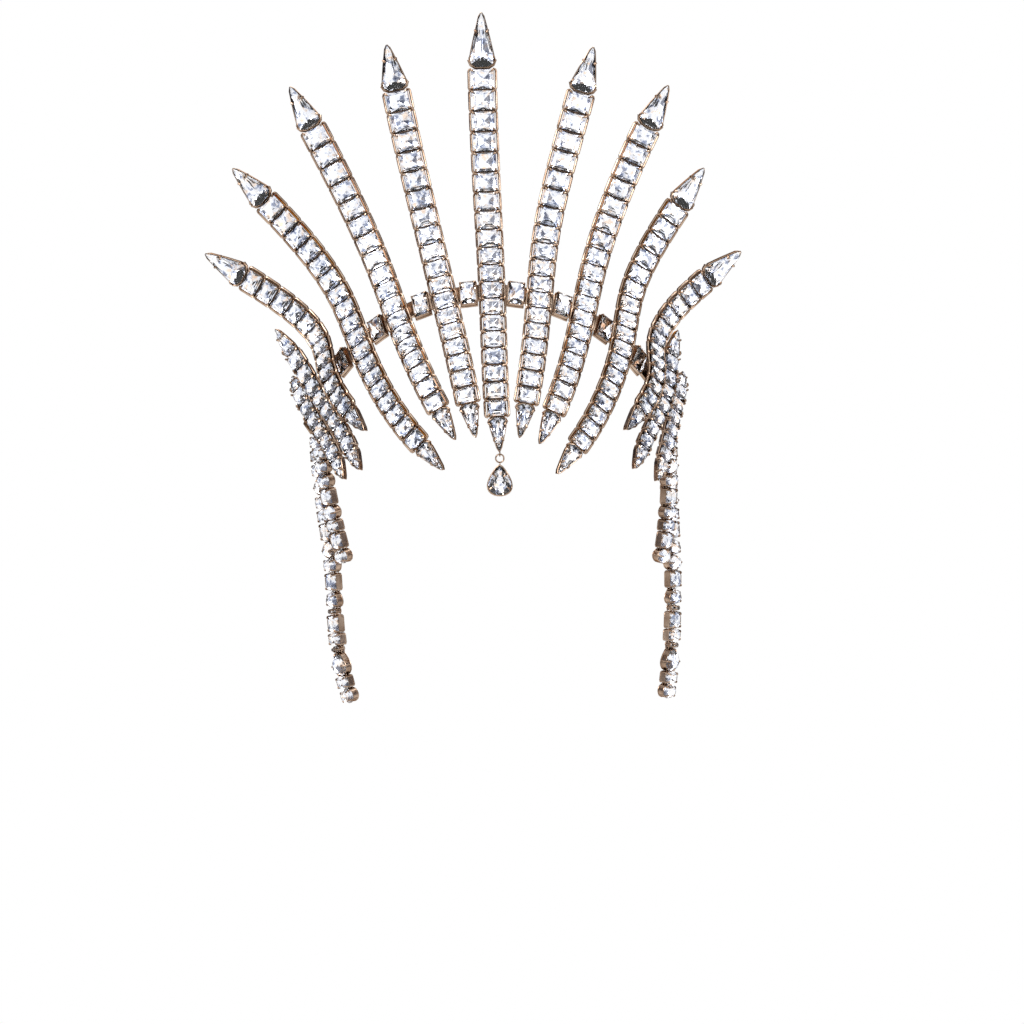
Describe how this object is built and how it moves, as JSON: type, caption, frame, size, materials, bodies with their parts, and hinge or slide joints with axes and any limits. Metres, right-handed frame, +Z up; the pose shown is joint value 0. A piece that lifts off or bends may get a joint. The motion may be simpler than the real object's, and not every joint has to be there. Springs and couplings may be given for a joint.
{
  "type": "fringe tiara",
  "caption": "Gilt Alice band that carries a fan of upright crystal quills from forehead to crown, strands of set stones at the temples and a pear drop on the forehead.",
  "frame": {"origin": "on the band's inner face at the crown, where the band sits on the head", "axes": "+X to the viewer's right, +Y from the face to the back of the head, +Z up"},
  "size_m": [0.2482, 0.0872, 0.3162],
  "materials": {
    "gilt": "pale rose-gold plate, polished",
    "crystal": "clear cut crystal with a silvered back",
    "set_crystal": "crystal stones in polished pale rose-gold settings"
  },
  "bodies": {
    "tiara": {"band_stones": "crystal", "foot_stone_centre": "crystal", "foot_stone_left_1": "crystal", "foot_stone_left_2": "crystal", "foot_stone_left_3": "crystal", "foot_stone_left_4": "crystal", "foot_stone_right_1": "crystal", "foot_stone_right_2": "crystal", "foot_stone_right_3": "crystal", "foot_stone_right_4": "crystal", "headband": "gilt", "quill_frame_centre": "gilt", "quill_frame_left_1": "gilt", "quill_frame_left_2": "gilt", "quill_frame_left_3": "gilt", "quill_frame_left_4": "gilt", "quill_frame_right_1": "gilt", "quill_frame_right_2": "gilt", "quill_frame_right_3": "gilt", "quill_frame_right_4": "gilt", "quill_stones_centre": "crystal", "quill_stones_left_1": "crystal", "quill_stones_left_2": "crystal", "quill_stones_left_3": "crystal", "quill_stones_left_4": "crystal", "quill_stones_right_1": "crystal", "quill_stones_right_2": "crystal", "quill_stones_right_3": "crystal", "quill_stones_right_4": "crystal", "strand_left_back": "set_crystal", "strand_left_front": "set_crystal", "strand_right_back": "set_crystal", "strand_right_front": "set_crystal", "temple_quill_left_5": "set_crystal", "temple_quill_left_6": "set_crystal", "temple_quill_right_5": "set_crystal", "temple_quill_right_6": "set_crystal", "top_stone_centre": "crystal", "top_stone_left_1": "crystal", "top_stone_left_2": "crystal", "top_stone_left_3": "crystal", "top_stone_left_4": "crystal", "top_stone_right_1": "crystal", "top_stone_right_2": "crystal", "top_stone_right_3": "crystal", "top_stone_right_4": "crystal"},
    "jump_ring": {"pendant_ring": "gilt"},
    "drop": {"pendant_setting": "gilt", "pendant_stone": "crystal"}
  },
  "joints": [
    {"name": "ring_swing", "type": "hinge", "parent": "tiara", "child": "jump_ring", "pos_m": [0.0041, -0.027, -0.0737], "axis": [0, 1, 0], "range_deg": [-35, 35]},
    {"name": "drop_swing", "type": "hinge", "parent": "jump_ring", "child": "drop", "pos_m": [0.0041, -0.027, -0.07657], "axis": [1, 0, 0], "range_deg": [-60, 60]}
  ]
}
